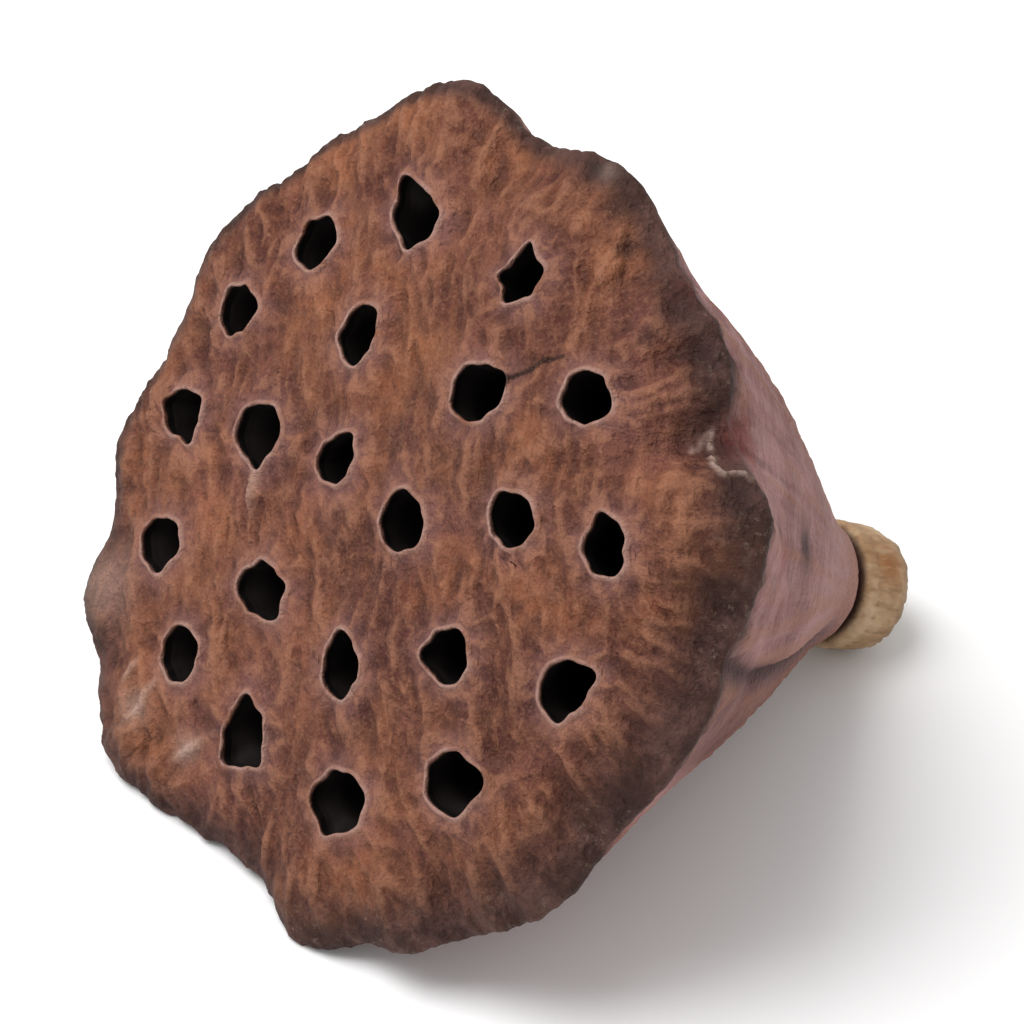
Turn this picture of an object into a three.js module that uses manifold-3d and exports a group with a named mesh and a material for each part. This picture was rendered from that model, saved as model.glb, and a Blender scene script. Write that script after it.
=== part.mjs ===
// Dried seed head of a lotus with the stump of its stalk, cut and laid down on its side.
// The head is a cone of spongy tissue under a slightly domed face with a wavy rim. Each mouth in the
// face opens into a blind chamber that once held a seed. The stump is a barrel ringed by flower scars.
// Millimetres, +Z up. The head lies on the low stretch of its rim and on the end of its stalk.
import * as THREE from "three";
import { mergeVertices } from "three/addons/utils/BufferGeometryUtils.js";
import Module from "manifold-3d";

const wasm = await Module();
wasm.setup();

// How the head lies: its face looks up by this angle, with the middle of the face at this height.
const FACE_TILT = 32;
const FACE_HEIGHT = 32.2;

// The rim, once round the face: angle in degrees, reach from the axis, and whether it is a crest (1), a
// notch (-1) or something between.
const RIM = [
  [-175, 34.5, -1],
  [-165, 34.5, 0],
  [-155, 36, 1],
  [-145, 36.5, -1],
  [-135, 38.5, 1],
  [-125, 38.5, 0.5],
  [-115, 39.5, 1],
  [-105, 37.5, 0],
  [-95, 35.5, 0],
  [-85, 35, 0],
  [-75, 37, 1],
  [-65, 35, 0],
  [-60, 35.5, 1],
  [-50, 34, 0],
  [-40, 34, 0.5],
  [-30, 33.5, 1],
  [-20, 31, -0.5],
  [-10, 31, 0],
  [10, 31, 0],
  [20, 30.5, -1],
  [25, 31.5, 0],
  [35, 32.5, 0.5],
  [40, 32, 1],
  [50, 27.5, -1.5],
  [55, 29.5, 0.5],
  [65, 30, -1.5],
  [70, 30.5, 0.5],
  [80, 30, -0.5],
  [85, 30.5, -1.5],
  [95, 32.5, -0.5],
  [105, 32.5, 0],
  [115, 32, -1.5],
  [125, 35.5, 0],
  [135, 35.5, -0.5],
  [145, 34.5, 0],
  [150, 35, -1.5],
  [160, 34, 0.5],
  [165, 35, -1],
  [175, 35, 0.5],
];

// The rim droops below the middle of the face, most of all on one side, and a crest stands above a notch.
const RIM_DROOP = 3.2;
const RIM_LEAN = 3;
const RIM_LEANS_TO = 10;
const RIM_WAVE = 0.6;
const EDGE_RADIUS = 1.1;

// The face: how high it domes, and how steeply it turns down into the rim.
const DOME = 1.5;
const TURN_DOWN = 4;

// The cone under the face: depth below the face plane, and radius there.
const CONE = [
  [-4, 36.6],
  [0, 34.6],
  [10, 28.5],
  [21, 21.8],
  [29, 17.0],
  [36, 12.2],
  [41, 8.7],
  [45, 6.0],
  [47.6, 4.9],
];
const NECK_DEPTH = 47.6;
const FLARE_POWER = 6;

// Folds that run down the cone: how many go round it, how deep, and the angle of the first. They are
// deepest a third of the way down, and shallow on the cone's smooth side.
const FOLDS = [
  [7, 0.5, 20],
  [11, 0.45, 12],
  [17, 0.3, 7],
];
const FOLD_SKEW = 0.7;
const SMOOTH_SIDE = 30;
const SMOOTH_SHARE = 0.5;

// The mouths in the face: place across and up the face, length, width, turn of the long side in degrees,
// and how far its leading end is drawn out to a tip.
const MOUTHS = [
  [-16, 18.5, 4.5, 4, 145, 0.35],
  [-23.5, 10.5, 4.5, 3.5, 80, 0],
  [-3, 21.5, 4.5, 3.5, 75, 0.15],
  [-27, 1.5, 4, 3.5, 100, 0],
  [-14, 8, 5, 3, 95, 0],
  [0, 12, 5.5, 4.5, 40, 0],
  [9, 18, 5, 4, 20, 0],
  [-26.5, -8.5, 4, 3.5, 180, 0.3],
  [-18, -4.5, 4.5, 4, 35, 0],
  [-9, -1, 4, 3, 85, 0],
  [0.5, -0.5, 5, 4, 155, 0],
  [10, 6.5, 4.5, 4, 160, 0],
  [18.5, 10, 4.5, 3.5, 145, 0.15],
  [-21.5, -18, 4, 3.5, 140, 0],
  [-9, -14, 5, 3.5, 185, 0],
  [-13.5, -23.5, 4.5, 3.5, 135, 0],
  [2.5, -13.5, 4.5, 3.5, 130, 0.3],
  [11.5, -6, 4.5, 4, 215, 0.3],
  [22, -1.5, 5, 4, 70, 0.2],
  [-3.5, -24.5, 5, 4, 110, 0.25],
  [8.5, -22.5, 5, 4, 55, 0.15],
  [17.5, -14, 5, 4.5, 210, 0.1],
];
const TIP_SHARPNESS = 6;

// The thin lip round a mouth, and the wider pucker of the face that carries it.
const LIP_WIDTH = 0.3;
const LIP_HEIGHT = 0.25;
const LIP_FOOT = 0.9;
const LIP_ROOT = 0.9;
const LIP_SKIRT = 0.1;
const PUCKER_HEIGHT = 0.5;
const PUCKER_REACH = 3.6;

// A seed chamber: depth, radius where it is widest, the depth at which all the chambers would meet, how far
// the mouth's own outline goes down, and below that the shares of depth and radius.
const CHAMBER_DEPTH = 14;
const CHAMBER_RADIUS = 2.9;
const CHAMBERS_MEET = 62;
const CHAMBER_THROAT = 1.2;
const CHAMBER_SHAPE = [
  [1, 0],
  [0.93, 0.5],
  [0.75, 0.9],
  [0.45, 1],
];
const CUT_ABOVE = 2;

// The stump of the stalk: depth below the face plane, and radius there, down to the rounded end.
const STALK = [
  [47.9, 4.5],
  [48.1, 5.1],
  [48.6, 5.4],
  [49.3, 5.35],
  [49.7, 5.15],
  [50.1, 5.4],
  [51.0, 5.35],
  [51.4, 5.1],
  [51.8, 5.35],
  [52.6, 5.25],
  [53.3, 4.8],
  [53.8, 3.9],
  [54.0, 2.4],
];

// Low ridges along the stump, in the form of the folds, and where down it they start and are full.
const STALK_RIDGES = [
  [9, 0.08, 0],
  [5, 0.06, -8],
];
const RIDGES_START = 48;
const RIDGES_FULL = 49.5;

const HEAD_SEGMENTS = 96;
const CONE_RINGS = 11;
const EDGE_RINGS = 3;
const FACE_RINGS = 8;
const MOUTH_SEGMENTS = 10;
const STALK_SEGMENTS = 30;
const SLOPE_STEP = 1.5;
const MERGE_DISTANCE = 1e-4;

const radians = THREE.MathUtils.degToRad;
const smoothstep = THREE.MathUtils.smoothstep;
const lerp = THREE.MathUtils.lerp;

// A smooth curve through rows that start with the place and hold the values after it.
function curveThrough(rows) {
  const places = rows.map((row) => row[0]);
  const values = rows.flatMap((row) => row.slice(1));
  const curve = new THREE.CubicInterpolant(places, values, rows[0].length - 1);
  return (place) => Array.from(curve.evaluate(place));
}

// The same for rows that close on themselves after 360 degrees.
function curveRound(rows) {
  const shifted = (part, turn) => part.map(([angle, ...values]) => [angle + turn, ...values]);
  const wrapped = [...shifted(rows.slice(-3), -360), ...rows, ...shifted(rows.slice(0, 3), 360)];
  return curveThrough(wrapped);
}

const rimCurve = curveRound(RIM);
const coneRadius = curveThrough(CONE);
const stalkRadius = curveThrough(STALK);

const degreesOf = (x, y) => THREE.MathUtils.radToDeg(Math.atan2(y, x));

// Reach and lift of the rim at an angle.
function rimAt(angle) {
  const [reach, crest] = rimCurve(angle);
  const lean = RIM_LEAN * Math.cos(radians(angle - RIM_LEANS_TO));
  return [reach, RIM_WAVE * crest - RIM_DROOP - lean];
}

// Height of ridges that run lengthwise, at an angle round the piece.
function ridgesAt(rows, angle) {
  return rows.reduce(
    (sum, [count, height, first]) => sum + height * Math.cos(radians(count * (angle - first))),
    0,
  );
}

// Height of the face at a place on it: a dome that droops into the rim, puckered up round each mouth.
function faceHeight(x, y) {
  const [reach, lift] = rimAt(degreesOf(x, y));
  const share = Math.min(Math.hypot(x, y) / reach, 1);
  const pucker = MOUTHS.reduce((height, [mouthX, mouthY]) => {
    const away = Math.hypot(x - mouthX, y - mouthY) / PUCKER_REACH;
    return height + PUCKER_HEIGHT * Math.exp(-away * away);
  }, 0);
  return DOME * (1 - share ** 2) + lift * share ** TURN_DOWN + pucker;
}

// Bends a lathed blank into shape: each vertex of a station goes where the shape puts it at its angle.
function bentLathe(stations, segments, shape) {
  const blank = new THREE.LatheGeometry(
    stations.map((station, index) => new THREE.Vector2(1, index)),
    segments,
  );
  const positions = blank.getAttribute("position");
  for (let vertex = 0; vertex < positions.count; vertex += 1) {
    const station = stations[vertex % stations.length];
    const step = Math.floor(vertex / stations.length) % segments;
    const place = shape(station, (step / segments) * 360);
    positions.setXYZ(vertex, place.x, place.y, place.z);
  }
  blank.deleteAttribute("uv");
  blank.deleteAttribute("normal");
  return mergeVertices(blank, MERGE_DISTANCE);
}

const polar = (radius, angle, height) =>
  new THREE.Vector3(radius * Math.cos(radians(angle)), radius * Math.sin(radians(angle)), height);

// The spongy cone: up its folded side from the neck, over the rounded edge of the rim and in to the middle.
function headGeometry() {
  const stations = [{ on: "neck" }];
  for (let ring = 0; ring < CONE_RINGS; ring += 1) {
    stations.push({ on: "cone", down: 1 - ring / CONE_RINGS });
  }
  for (let ring = 0; ring <= EDGE_RINGS; ring += 1) {
    stations.push({ on: "edge", turn: -90 + (180 * ring) / EDGE_RINGS });
  }
  for (let ring = FACE_RINGS - 1; ring >= 0; ring -= 1) {
    stations.push({ on: "face", share: ring / FACE_RINGS });
  }
  return bentLathe(stations, HEAD_SEGMENTS, (station, around) => {
    const angle = around > 180 ? around - 360 : around;
    const [reach, lift] = rimAt(angle);
    const edgeReach = reach - EDGE_RADIUS;
    const edgeHeight = lift - EDGE_RADIUS;
    if (station.on === "neck") {
      return new THREE.Vector3(0, 0, -NECK_DEPTH);
    }
    if (station.on === "cone") {
      const under = edgeHeight - EDGE_RADIUS;
      const height = lerp(under, -NECK_DEPTH, station.down);
      const flare = (edgeReach - coneRadius(-under)[0]) * (1 - station.down) ** FLARE_POWER;
      const facing = (1 + Math.cos(radians(angle - SMOOTH_SIDE))) / 2;
      const fade = Math.sin(Math.PI * station.down ** FOLD_SKEW) * (1 - SMOOTH_SHARE * facing);
      const fold = ridgesAt(FOLDS, angle) * fade;
      return polar(coneRadius(-height)[0] + flare + fold, angle, height);
    }
    if (station.on === "edge") {
      const out = edgeReach + EDGE_RADIUS * Math.cos(radians(station.turn));
      return polar(out, angle, edgeHeight + EDGE_RADIUS * Math.sin(radians(station.turn)));
    }
    const flat = polar(edgeReach * station.share, angle, 0);
    return flat.setZ(faceHeight(flat.x, flat.y));
  });
}

// Half-width of a mouth in a direction on the face: an oval with one end drawn out to a tip.
function mouthRadius([, , length, width, turn, tip], angle) {
  const along = Math.cos(radians(angle - turn));
  const across = Math.sin(radians(angle - turn));
  const oval = 1 / Math.hypot(along / (length / 2), across / (width / 2));
  return oval * (1 + tip * Math.max(along, 0) ** TIP_SHARPNESS);
}

// The way out of the face at a mouth, across the slope of the dome.
function faceNormal(x, y) {
  const slopeX = (faceHeight(x + SLOPE_STEP, y) - faceHeight(x - SLOPE_STEP, y)) / (2 * SLOPE_STEP);
  const slopeY = (faceHeight(x, y + SLOPE_STEP) - faceHeight(x, y - SLOPE_STEP)) / (2 * SLOPE_STEP);
  return new THREE.Vector3(-slopeX, -slopeY, 1).normalize();
}

// The thin raised lip round a mouth, as a low plug that the chamber is then cut through.
function lipGeometry(mouth) {
  const [x, y] = mouth;
  const middle = new THREE.Vector3(x, y, faceHeight(x, y));
  const normal = faceNormal(x, y);
  const stations = [
    { out: null, height: -LIP_ROOT },
    { out: LIP_FOOT, height: -LIP_ROOT },
    { out: LIP_FOOT, height: -LIP_SKIRT },
    { out: LIP_WIDTH, height: LIP_HEIGHT },
    { out: null, height: LIP_HEIGHT },
  ];
  return bentLathe(stations, MOUTH_SEGMENTS, ({ out, height }, angle) => {
    const radius = out === null ? 0 : mouthRadius(mouth, angle) + out;
    return middle.clone().add(polar(radius, angle, 0)).addScaledVector(normal, height);
  });
}

// A seed chamber: the mouth's outline at the face, widening below its throat and leaning in to the axis.
function chamberGeometry(mouth) {
  const [x, y] = mouth;
  const middle = new THREE.Vector3(x, y, faceHeight(x, y));
  const inward = new THREE.Vector3(0, 0, -CHAMBERS_MEET).sub(middle).normalize();
  const stations = [
    ...CHAMBER_SHAPE.map(([down, out]) => ({
      depth: CHAMBER_DEPTH * down,
      radius: CHAMBER_RADIUS * out,
    })),
    { depth: CHAMBER_THROAT, radius: null },
    { depth: -CUT_ABOVE, radius: null },
    { depth: -CUT_ABOVE, radius: 0 },
  ];
  return bentLathe(stations, MOUTH_SEGMENTS, ({ depth, radius }, angle) => {
    const out = radius === null ? mouthRadius(mouth, angle) : radius;
    return middle.clone().add(polar(out, angle, 0)).addScaledVector(inward, depth);
  });
}

// The stump: a barrel with ring-shaped scars, slightly ridged along its length.
function stalkGeometry() {
  const [topDepth] = STALK[0];
  const [endDepth] = STALK[STALK.length - 1];
  const stations = [{ depth: endDepth, axis: true }];
  STALK.toReversed().forEach(([depth]) => stations.push({ depth, axis: false }));
  stations.push({ depth: topDepth, axis: true });
  return bentLathe(stations, STALK_SEGMENTS, ({ depth, axis }, angle) => {
    const ridges = ridgesAt(STALK_RIDGES, angle) * smoothstep(depth, RIDGES_START, RIDGES_FULL);
    return polar(axis ? 0 : stalkRadius(depth)[0] + ridges, angle, -depth);
  });
}

function solidOf(geometry) {
  return new wasm.Manifold(
    new wasm.Mesh({
      numProp: 3,
      vertProperties: geometry.getAttribute("position").array,
      triVerts: new Uint32Array(geometry.index.array),
    }),
  );
}

function geometryOf(solid) {
  const mesh = solid.getMesh();
  const geometry = new THREE.BufferGeometry();
  geometry.setAttribute("position", new THREE.BufferAttribute(mesh.vertProperties, 3));
  geometry.setIndex(new THREE.BufferAttribute(mesh.triVerts, 1));
  geometry.computeVertexNormals();
  return geometry;
}

function namedMesh(name, solid, colour, roughness) {
  const material = new THREE.MeshStandardMaterial({ color: colour, roughness, metalness: 0 });
  const mesh = new THREE.Mesh(geometryOf(solid), material);
  mesh.name = name;
  return mesh;
}

// The whole head stands in its own frame, face up, and this group lays it down.
const pod = new THREE.Group();
pod.rotation.x = radians(90 - FACE_TILT);
pod.position.z = FACE_HEIGHT;
pod.updateMatrixWorld(true);

// The surface under it presses small flats on what touches it.
const GROUND_SIZE = 200;
const ground = new THREE.BoxGeometry(GROUND_SIZE, GROUND_SIZE, GROUND_SIZE);
ground.translate(0, 0, -GROUND_SIZE / 2);
ground.applyMatrix4(pod.matrixWorld.clone().invert());
ground.deleteAttribute("uv");
ground.deleteAttribute("normal");
const groundSolid = solidOf(mergeVertices(ground, MERGE_DISTANCE));

let head = solidOf(headGeometry());
for (const mouth of MOUTHS) {
  head = head.add(solidOf(lipGeometry(mouth)));
}
for (const mouth of MOUTHS) {
  head = head.subtract(solidOf(chamberGeometry(mouth)));
}
head = head.subtract(groundSolid);
const stalk = solidOf(stalkGeometry()).subtract(groundSolid);

pod.add(namedMesh("receptacle", head, 0x96644b, 0.85));
pod.add(namedMesh("stalk_stump", stalk, 0xb4966e, 0.8));

// The origin is in the middle of the footprint, on the surface.
const footprint = new THREE.Box3().setFromObject(pod, true).getCenter(new THREE.Vector3());
pod.position.x -= footprint.x;
pod.position.y -= footprint.y;

const lotusPod = new THREE.Group();
lotusPod.add(pod);

export default lotusPod;
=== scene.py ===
"""A dried lotus seed head with the stump of its stalk, lying on its side. In metres, +Z up."""
import math

import bmesh
import bpy
import numpy as np
from mathutils import Matrix, Vector, noise


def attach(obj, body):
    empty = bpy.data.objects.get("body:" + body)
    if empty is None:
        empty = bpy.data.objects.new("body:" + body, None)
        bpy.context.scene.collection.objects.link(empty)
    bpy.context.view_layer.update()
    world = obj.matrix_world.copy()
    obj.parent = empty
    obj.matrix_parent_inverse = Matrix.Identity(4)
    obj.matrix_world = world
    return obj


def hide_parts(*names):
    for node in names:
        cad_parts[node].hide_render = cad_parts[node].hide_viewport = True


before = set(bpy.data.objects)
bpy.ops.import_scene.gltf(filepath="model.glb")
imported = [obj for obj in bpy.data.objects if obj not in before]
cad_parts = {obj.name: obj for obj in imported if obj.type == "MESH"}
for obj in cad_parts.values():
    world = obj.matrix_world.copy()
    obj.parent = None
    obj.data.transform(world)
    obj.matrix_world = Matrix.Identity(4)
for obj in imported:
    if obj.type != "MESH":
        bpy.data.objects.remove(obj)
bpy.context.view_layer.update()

# The seed head is one swollen flower base of spongy tissue, dried hard: a cone under a broad, wavy face.
# It is worked standing face up, in millimetres, with the middle of its face at the origin and its axis
# along Z, and laid down when it is done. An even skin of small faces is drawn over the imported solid.
MILLIMETRE = 0.001
FACE_TILT = math.radians(32)
LEAN = math.pi / 2 - FACE_TILT
FACE_CENTRE = Vector((0.00191, -0.01501, 0.0322))
NECK_DEPTH = 47.6
CORNERS_JOIN = 0.001
SKIN_CELL = 0.59
SKIN_SMOOTHING = 5

lying = Matrix.Translation(FACE_CENTRE) @ Matrix.Rotation(LEAN, 4, "X")
laid_down = lying @ Matrix.Scale(MILLIMETRE, 4)


def stood_up(node):
    """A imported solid, stood face up in millimetres, with the corners of its triangles joined."""
    solid = bmesh.new()
    solid.from_mesh(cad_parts[node].data)
    solid.transform(laid_down.inverted())
    bmesh.ops.remove_doubles(solid, verts=solid.verts, dist=CORNERS_JOIN)
    return solid


def skinned(form, cell):
    """The form of a bmesh under an even skin of small faces, as a new bmesh."""
    mesh = bpy.data.meshes.new("form")
    form.to_mesh(mesh)
    form.free()
    holder = bpy.data.objects.new("form", mesh)
    bpy.context.scene.collection.objects.link(holder)
    remesh = holder.modifiers.new("skin", "REMESH")
    remesh.mode = "VOXEL"
    remesh.voxel_size = cell
    bpy.context.view_layer.update()
    drawn = holder.evaluated_get(bpy.context.evaluated_depsgraph_get())
    skin = bmesh.new()
    skin.from_mesh(drawn.to_mesh())
    drawn.to_mesh_clear()
    bpy.data.objects.remove(holder)
    bpy.data.meshes.remove(mesh)
    return skin


def smoothed(shape, verts, times):
    """Draws vertices towards those round them, several times over."""
    for _ in range(times):
        bmesh.ops.smooth_vert(
            shape, verts=verts, factor=0.5, use_axis_x=True, use_axis_y=True, use_axis_z=True
        )


def places(shape):
    """Where each vertex of a bmesh is, as rows of three numbers."""
    return np.array([vert.co for vert in shape.verts])


head = skinned(stood_up("receptacle"), SKIN_CELL)

# Each mouth in the face is the dried-up opening of a seed chamber. It has shrunk to a crooked shape of
# its own, with a thin papery lip standing round it, and below it the chamber widens again. A mouth has a
# place on the face, a length and width, the turn of its long side, and the corners it is drawn out to.
MOUTHS = [
    (-16, 18.5, 5.5, 4.5, 170, [(155, 0.45), (40, 0.25), (300, 0.25)]),
    (-23.5, 10.5, 5, 4, 90, [(165, 0.15), (45, 0.2), (225, 0.1)]),
    (-3, 21.5, 4, 3.5, 115, [(120, 0.5), (50, 0.35), (345, 0.15), (270, 0.4), (215, 0.5)]),
    (-27, 1.5, 4.5, 4, 50, [(160, 0.15), (285, 0.25), (40, 0.15)]),
    (-14, 8, 5.5, 4, 105, [(225, 0.1)]),
    (0, 12, 6, 5, 40, [(65, 0.15)]),
    (9, 18, 5, 4.5, 5, []),
    (-26.5, -8.5, 4.5, 4, 20, [(195, 0.15), (75, 0.2), (330, 0.45)]),
    (-18, -4.5, 5.5, 5, 35, [(310, 0.25)]),
    (-9, -1, 4.5, 4, 80, [(90, 0.2), (225, 0.1)]),
    (0.5, -0.5, 5.5, 5, 155, []),
    (10, 6.5, 5.5, 4.5, 0, []),
    (18.5, 10, 5, 4, 115, [(135, 0.2), (335, 0.15)]),
    (-21.5, -18, 5, 4.5, 45, [(195, 0.15), (310, 0.15)]),
    (-9, -14, 5.5, 4.5, 10, [(130, 0.1), (40, 0.15), (345, 0.2), (215, 0.1)]),
    (-13.5, -23.5, 5, 4.5, 135, [(230, 0.12)]),
    (2.5, -13.5, 5, 4.5, 125, [(130, 0.3), (310, 0.15)]),
    (11.5, -6, 5, 4.5, 10, [(215, 0.2), (100, 0.15), (325, 0.1)]),
    (22, -1.5, 5.5, 4, 85, [(55, 0.35), (290, 0.15), (175, 0.15)]),
    (-3.5, -24.5, 5.5, 5, 95, [(120, 0.3), (255, 0.3), (340, 0.2)]),
    (8.5, -22.5, 6, 5, 50, [(130, 0.1), (40, 0.15), (335, 0.1), (270, 0.25), (200, 0.15)]),
    (17.5, -14, 6, 5, 50, [(305, 0.25), (35, 0.2)]),
]
CORNER_SHARPNESS = 16
CROOKED = [(3, 0.03), (5, 0.03), (8, 0.02)]
OVAL_SHARE = 0.94
# The chambers lean in to a point on the axis, and the new lip starts at a collar round the outline.
CHAMBERS_MEET = 62
CHAMBER_DEPTH = 14
CHAMBER_REACH = 3.8
CHAMBER_MARGIN = 2
THROAT = 2.5
COLLAR = 0.95
FIRST_MARGIN = 0.3
# The height of the face at a mouth is read in a ring round it, where the skin looks up enough.
READ_FROM = 3.2
READ_TO = 4.2
READ_UPRIGHT = 0.6
READ_LOWEST = -8
MOUTH_LIFT = 0.3
# The lip is torn: its height varies round the mouth by this share, in tears of this fineness.
TEAR_SHARE = 0.55
TEAR_FINENESS = 2.6
BUMPS_KEPT = 0.7


def mouth_outline(mouth, angle):
    """How far a mouth reaches from its middle, in a direction on the face in radians."""
    _, _, length, width, turn, corners = mouth
    along = angle - math.radians(turn)
    oval = 1 / np.hypot(np.cos(along) / (length / 2), np.sin(along) / (width / 2))
    drawn = sum(
        amount * np.clip(np.cos(angle - math.radians(to)), 0, 1) ** CORNER_SHARPNESS
        for to, amount in corners
    )
    crooked = sum(
        size * np.sin(waves * angle + mouth[0] * waves + mouth[1]) for waves, size in CROOKED
    )
    return oval * (OVAL_SHARE + drawn + crooked)


def mouth_axis(shape, mouth):
    """The middle of a mouth on the face and the direction down its chamber."""
    x, y = mouth[:2]
    face = [v.co for v in shape.verts if v.normal.z > READ_UPRIGHT and v.co.z > READ_LOWEST]
    round_it = [co.z for co in face if READ_FROM < math.hypot(co.x - x, co.y - y) < READ_TO]
    middle = np.array([x, y, np.mean(round_it) + MOUTH_LIFT])
    down = np.array([0, 0, -CHAMBERS_MEET]) - middle
    return middle, down / np.linalg.norm(down)


def within_mouth(co, mouth, middle, down, margin):
    """Which places lie in a mouth's chamber, or within a margin of its outline near the face."""
    rest = co - middle
    depth = rest @ down
    out = rest - depth[:, None] * down
    away = np.linalg.norm(out, axis=1)
    edge = mouth_outline(mouth, np.arctan2(out[:, 1], out[:, 0])) + margin
    across = np.where(depth < THROAT, away < edge, away < CHAMBER_REACH)
    return across & (abs(depth) < CHAMBER_DEPTH + CHAMBER_MARGIN)


def cleared(shape, margin):
    """Takes away the skin inside every mouth and chamber."""
    co = places(shape)
    inside = np.zeros(len(co), bool)
    for mouth, (middle, down) in zip(MOUTHS, axes):
        inside |= within_mouth(co, mouth, middle, down, margin)
    doomed = [vert for vert, gone in zip(shape.verts, inside) if gone]
    bmesh.ops.delete(shape, geom=doomed, context="VERTS")


def tidied(shape):
    """Keeps the one large piece of a skin, without corners where two open edges cross."""
    while True:
        crossed = [v for v in shape.verts if sum(edge.is_boundary for edge in v.link_edges) > 2]
        if not crossed:
            break
        bmesh.ops.delete(shape, geom=crossed, context="VERTS")
    start = min(shape.verts, key=lambda vert: vert.co.z)
    kept, edge_of = {start}, [start]
    while edge_of:
        edge_of = [
            other
            for vert in edge_of
            for edge in vert.link_edges
            if (other := edge.other_vert(vert)) not in kept and not kept.add(other)
        ]
    bmesh.ops.delete(shape, geom=[vert for vert in shape.verts if vert not in kept], context="VERTS")


def open_loops(shape):
    """The open edges of a bmesh as closed loops of vertices."""
    shape.edges.index_update()
    left = {edge for edge in shape.edges if edge.is_boundary}
    loops = []
    while left:
        edge = min(left, key=lambda one: one.index)
        left.discard(edge)
        loop = [edge.verts[0], edge.verts[1]]
        while loop[-1] is not loop[0]:
            step = next(one for one in loop[-1].link_edges if one in left)
            left.discard(step)
            loop.append(step.other_vert(loop[-1]))
        loops.append(loop[:-1])
    return loops


def next_rings(shape, rings):
    """Extrudes closed rings of vertices, and gives the new rings in the same order."""
    edges = [shape.edges.get(pair) for ring in rings for pair in zip(ring, ring[1:] + ring[:1])]
    drawn = bmesh.ops.extrude_edge_only(shape, edges=edges)["geom"]
    fresh = {one for one in drawn if isinstance(one, bmesh.types.BMVert)}

    def drawn_from(vert):
        return next(other for edge in vert.link_edges if (other := edge.other_vert(vert)) in fresh)

    return [[drawn_from(vert) for vert in ring] for ring in rings]


def grain(points, shift=0.0):
    """Smooth noise from about -1 to 1 at rows of places."""
    return np.array([noise.noise(point) for point in (points + shift).tolist()])


def rolled_mean(values, reach):
    """The averages of values in a ring, each with as many as a reach on either side of it."""
    return sum(np.roll(values, by) for by in range(-reach, reach + 1)) / (2 * reach + 1)


class Opening:
    """A mouth as it is worked: directions that space its ring evenly, and the slope of the face."""

    def __init__(self, mouth, middle, down, loop):
        self.middle = middle
        self.inward = down / -down[2]
        turns = self.spaced_round(mouth, loop)
        self.outline = mouth_outline(mouth, turns)
        self.toward = np.column_stack([np.cos(turns), np.sin(turns), 0 * turns])
        spots = np.array([vert.co for vert in loop]) - middle
        plane = np.column_stack([spots[:, :2], np.ones(len(loop))])
        self.slope = np.linalg.lstsq(plane, spots[:, 2], rcond=None)[0]
        self.torn = 1 + TEAR_SHARE * grain(self.toward * TEAR_FINENESS, mouth[0])
        bumps = spots[:, 2] - plane @ self.slope
        self.bumps = rolled_mean(bumps, 2) * BUMPS_KEPT

    def spaced_round(self, mouth, loop):
        """Directions from the middle that space a loop's vertices evenly along the collar."""
        turns = np.linspace(0, 2 * math.pi, 2 * 360 + 1)
        reach = mouth_outline(mouth, turns) + COLLAR
        line = np.column_stack([reach * np.cos(turns), reach * np.sin(turns)])
        walked = np.append(0, np.cumsum(np.linalg.norm(np.diff(line, axis=0), axis=1)))
        whole = walked[-1]
        now = np.array([math.atan2(vert.co.y - mouth[1], vert.co.x - mouth[0]) for vert in loop])
        at = np.interp(now % (2 * math.pi), turns, walked)
        sense = np.sign((np.mod(np.diff(at) + whole / 2, whole) - whole / 2).sum())
        steps = sense * np.arange(len(loop)) * whole / len(loop)
        start = np.angle(np.exp(2j * math.pi * (at - steps) / whole).mean()) * whole / (2 * math.pi)
        return np.interp(np.mod(start + steps, whole), walked, turns)

    def at_face(self, offset, height):
        """A ring at an offset from the outline and a height above the slope of the face."""
        spread = self.toward * (self.outline + offset)[:, None]
        lift = spread[:, :2] @ self.slope[:2] + self.slope[2] + self.bumps * max(offset, 0) / COLLAR
        spread[:, 2] = lift + height * (self.torn if height > 0 else 1)
        return self.middle + spread

    def at_depth(self, depth, radius):
        """A ring of the chamber."""
        return self.middle + depth * self.inward + self.toward * radius

    def throat(self, depth):
        """The mouth's own outline, further down."""
        return self.at_face(0, 0) + depth * self.inward


def put(verts, spots):
    """Moves vertices to new places."""
    for vert, spot in zip(verts, spots):
        vert.co = Vector(spot)


# From the tissue up over the lip and down its inner side: distance out from the outline, and height.
LIP_RINGS = [(0.7, 0.02), (0.46, 0.08), (0.26, 0.3), (0.12, 0.42), (-0.02, 0.3), (0, -0.1)]
LIP_SHADE_FROM = 0.2
THROAT_DEPTHS = [0.6, 1.2]
THROAT_SHADE = 0.3
# Below the throat, the chamber: depth and radius.
CHAMBER_RINGS = [(2.4, 2.45), (4.2, 2.75), (6.3, 2.9), (8.4, 2.85), (10.5, 2.6), (12, 2.1), (13, 1.45)]

head.normal_update()
axes = [mouth_axis(head, mouth) for mouth in MOUTHS]
cleared(head, FIRST_MARGIN)
smoothed(head, [vert for vert in head.verts if not vert.is_boundary], SKIN_SMOOTHING)
cleared(head, COLLAR)
tidied(head)
head.normal_update()

# The face carries the finest relief, so the skin there is split once more and smoothed again.
SPLIT_UPRIGHT = 0.25
SPLIT_LOWEST = -12
SMOOTH_UPRIGHT = 0.2
LAST_SMOOTHING = 2

upper = {vert for vert in head.verts if vert.normal.z > SPLIT_UPRIGHT and vert.co.z > SPLIT_LOWEST}
face_edges = [edge for edge in head.edges if not edge.is_boundary and upper.issuperset(edge.verts)]
bmesh.ops.subdivide_edges(head, edges=face_edges, cuts=1, use_grid_fill=True)
split = [vert for vert in head.verts if vert.normal.z > SMOOTH_UPRIGHT and not vert.is_boundary]
smoothed(head, split, LAST_SMOOTHING)

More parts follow.
